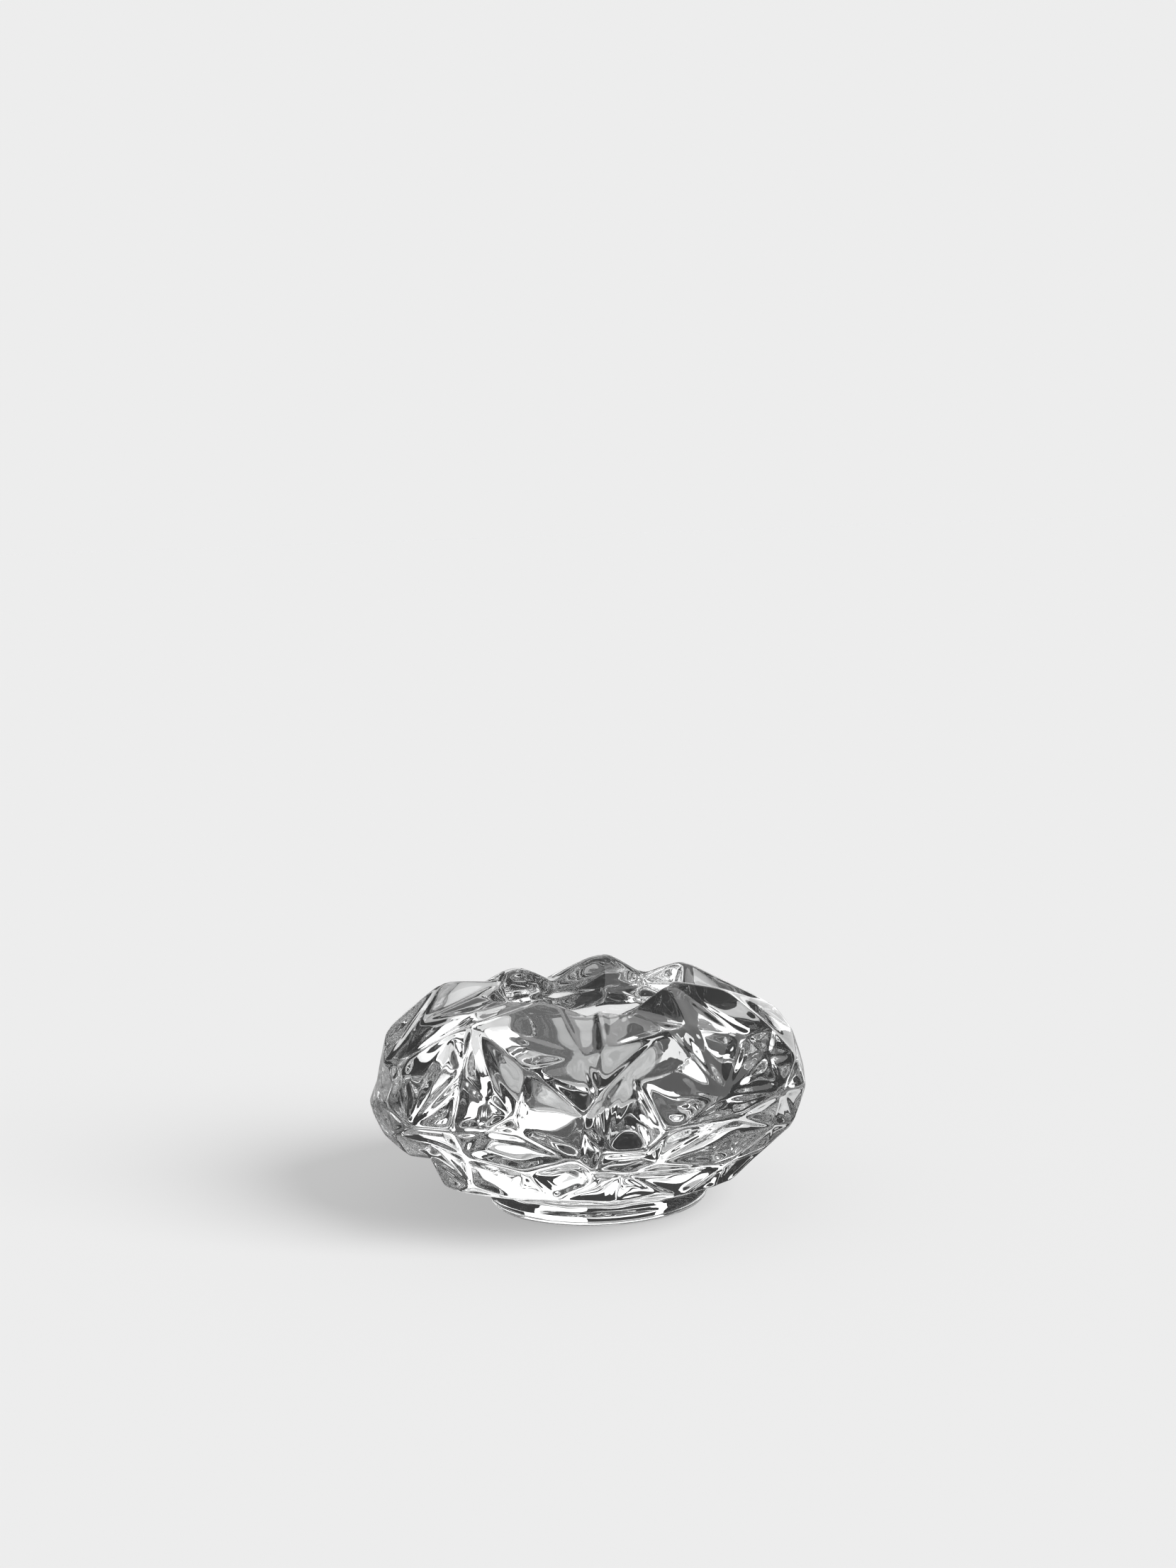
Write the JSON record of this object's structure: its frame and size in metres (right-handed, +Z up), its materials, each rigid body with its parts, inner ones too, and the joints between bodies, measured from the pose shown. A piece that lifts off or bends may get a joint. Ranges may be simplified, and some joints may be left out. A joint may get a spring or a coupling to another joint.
{
  "type": "votive candle holder",
  "caption": "Low, wide votive candle holder of clear crystal: a bowl cut in irregular facets, with a wavy rim and a round candle cup, on a plain round foot.",
  "frame": {"origin": "middle of the foot's underside, on the table", "axes": "+Z up along the axis of the candle cup, -Y towards the front seen in the picture, +X to that view's right"},
  "size_m": [0.12, 0.1165, 0.0628],
  "materials": {
    "crystal": "polished"
  },
  "bodies": {
    "root": {"bowl": "crystal", "foot": "crystal"}
  },
  "joints": []
}
